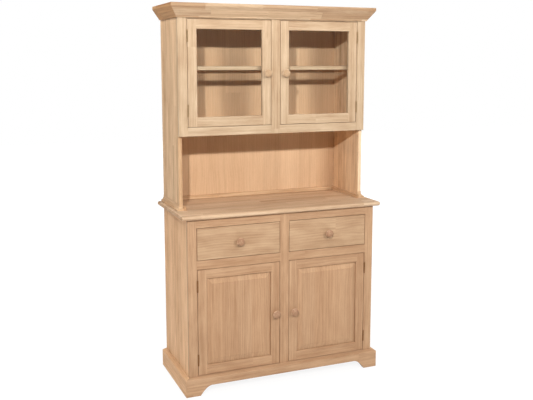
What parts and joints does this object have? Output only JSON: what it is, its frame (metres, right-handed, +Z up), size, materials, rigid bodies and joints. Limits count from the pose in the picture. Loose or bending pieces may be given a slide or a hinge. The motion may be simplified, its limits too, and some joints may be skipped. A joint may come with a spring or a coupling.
{
  "type": "hutch",
  "caption": "Raw wood hutch: a glazed cabinet with a crown on a buffet with drawers, panel doors and bracket feet.",
  "frame": {"origin": "on the floor, under the middle of the bounding box, knobs included", "axes": "+Z up, the front faces -Y, +X to the right of someone who faces the front"},
  "size_m": [1.1146, 0.472, 1.939],
  "materials": {
    "case_wood": "raw wood, sanded smooth",
    "face_wood": "raw wood, sanded smooth",
    "inside_wood": "raw wood, sanded smooth",
    "knob_wood": "raw wood, turned and sanded",
    "glass": "clear, polished",
    "hinge_metal": "antiqued, satin"
  },
  "bodies": {
    "case": {"base_side_left": "case_wood", "base_side_right": "case_wood", "base_face_frame": "face_wood", "base_bottom": "case_wood", "base_back": "inside_wood", "base_shelf": "case_wood", "counter_top": "case_wood", "plinth_front": "case_wood", "plinth_left": "case_wood", "plinth_right": "case_wood", "hutch_side_left": "case_wood", "hutch_side_right": "case_wood", "hutch_back": "inside_wood", "hutch_top": "case_wood", "hutch_floor": "case_wood", "hutch_shelf": "case_wood", "hutch_shelf_glass": "glass", "hutch_face_frame": "face_wood", "crown_front": "case_wood", "crown_left": "case_wood", "crown_right": "case_wood", "shoe_left": "case_wood", "shoe_right": "case_wood", "back_strip": "case_wood", "drawer_runner_left": "case_wood", "drawer_runner_right": "case_wood", "lower_door_left_hinge_top_fixed": "hinge_metal", "lower_door_left_hinge_bottom_fixed": "hinge_metal", "lower_door_right_hinge_top_fixed": "hinge_metal", "lower_door_right_hinge_bottom_fixed": "hinge_metal", "upper_door_left_hinge_top_fixed": "hinge_metal", "upper_door_left_hinge_bottom_fixed": "hinge_metal", "upper_door_right_hinge_top_fixed": "hinge_metal", "upper_door_right_hinge_bottom_fixed": "hinge_metal"},
    "lower_door_left": {"lower_door_left_frame": "face_wood", "lower_door_left_panel": "case_wood", "lower_door_left_knob": "knob_wood", "lower_door_left_hinge_top_moving": "hinge_metal", "lower_door_left_hinge_bottom_moving": "hinge_metal"},
    "lower_door_right": {"lower_door_right_frame": "face_wood", "lower_door_right_panel": "case_wood", "lower_door_right_knob": "knob_wood", "lower_door_right_hinge_top_moving": "hinge_metal", "lower_door_right_hinge_bottom_moving": "hinge_metal"},
    "upper_door_left": {"upper_door_left_frame": "face_wood", "upper_door_left_glass": "glass", "upper_door_left_knob": "knob_wood", "upper_door_left_hinge_top_moving": "hinge_metal", "upper_door_left_hinge_bottom_moving": "hinge_metal"},
    "upper_door_right": {"upper_door_right_frame": "face_wood", "upper_door_right_glass": "glass", "upper_door_right_knob": "knob_wood", "upper_door_right_hinge_top_moving": "hinge_metal", "upper_door_right_hinge_bottom_moving": "hinge_metal"},
    "drawer_left": {"drawer_left_front": "face_wood", "drawer_left_knob": "knob_wood", "drawer_left_box": "case_wood"},
    "drawer_right": {"drawer_right_front": "face_wood", "drawer_right_knob": "knob_wood", "drawer_right_box": "case_wood"}
  },
  "joints": [
    {"name": "lower_door_left_swing", "type": "hinge", "parent": "case", "child": "lower_door_left", "pos_m": [-0.46825, -0.2088, 0.369], "axis": [0, 0, -1], "range_deg": [0, 170]},
    {"name": "lower_door_right_swing", "type": "hinge", "parent": "case", "child": "lower_door_right", "pos_m": [0.46825, -0.2088, 0.369], "axis": [0, 0, 1], "range_deg": [0, 170]},
    {"name": "upper_door_left_swing", "type": "hinge", "parent": "case", "child": "upper_door_left", "pos_m": [-0.46825, -0.0898, 1.60125], "axis": [0, 0, -1], "range_deg": [0, 170]},
    {"name": "upper_door_right_swing", "type": "hinge", "parent": "case", "child": "upper_door_right", "pos_m": [0.46825, -0.0898, 1.60125], "axis": [0, 0, 1], "range_deg": [0, 170]},
    {"name": "drawer_left_slide", "type": "slide", "parent": "case", "child": "drawer_left", "axis": [0, -1, 0], "range_m": [0, 0.3]},
    {"name": "drawer_right_slide", "type": "slide", "parent": "case", "child": "drawer_right", "axis": [0, -1, 0], "range_m": [0, 0.3]}
  ]
}
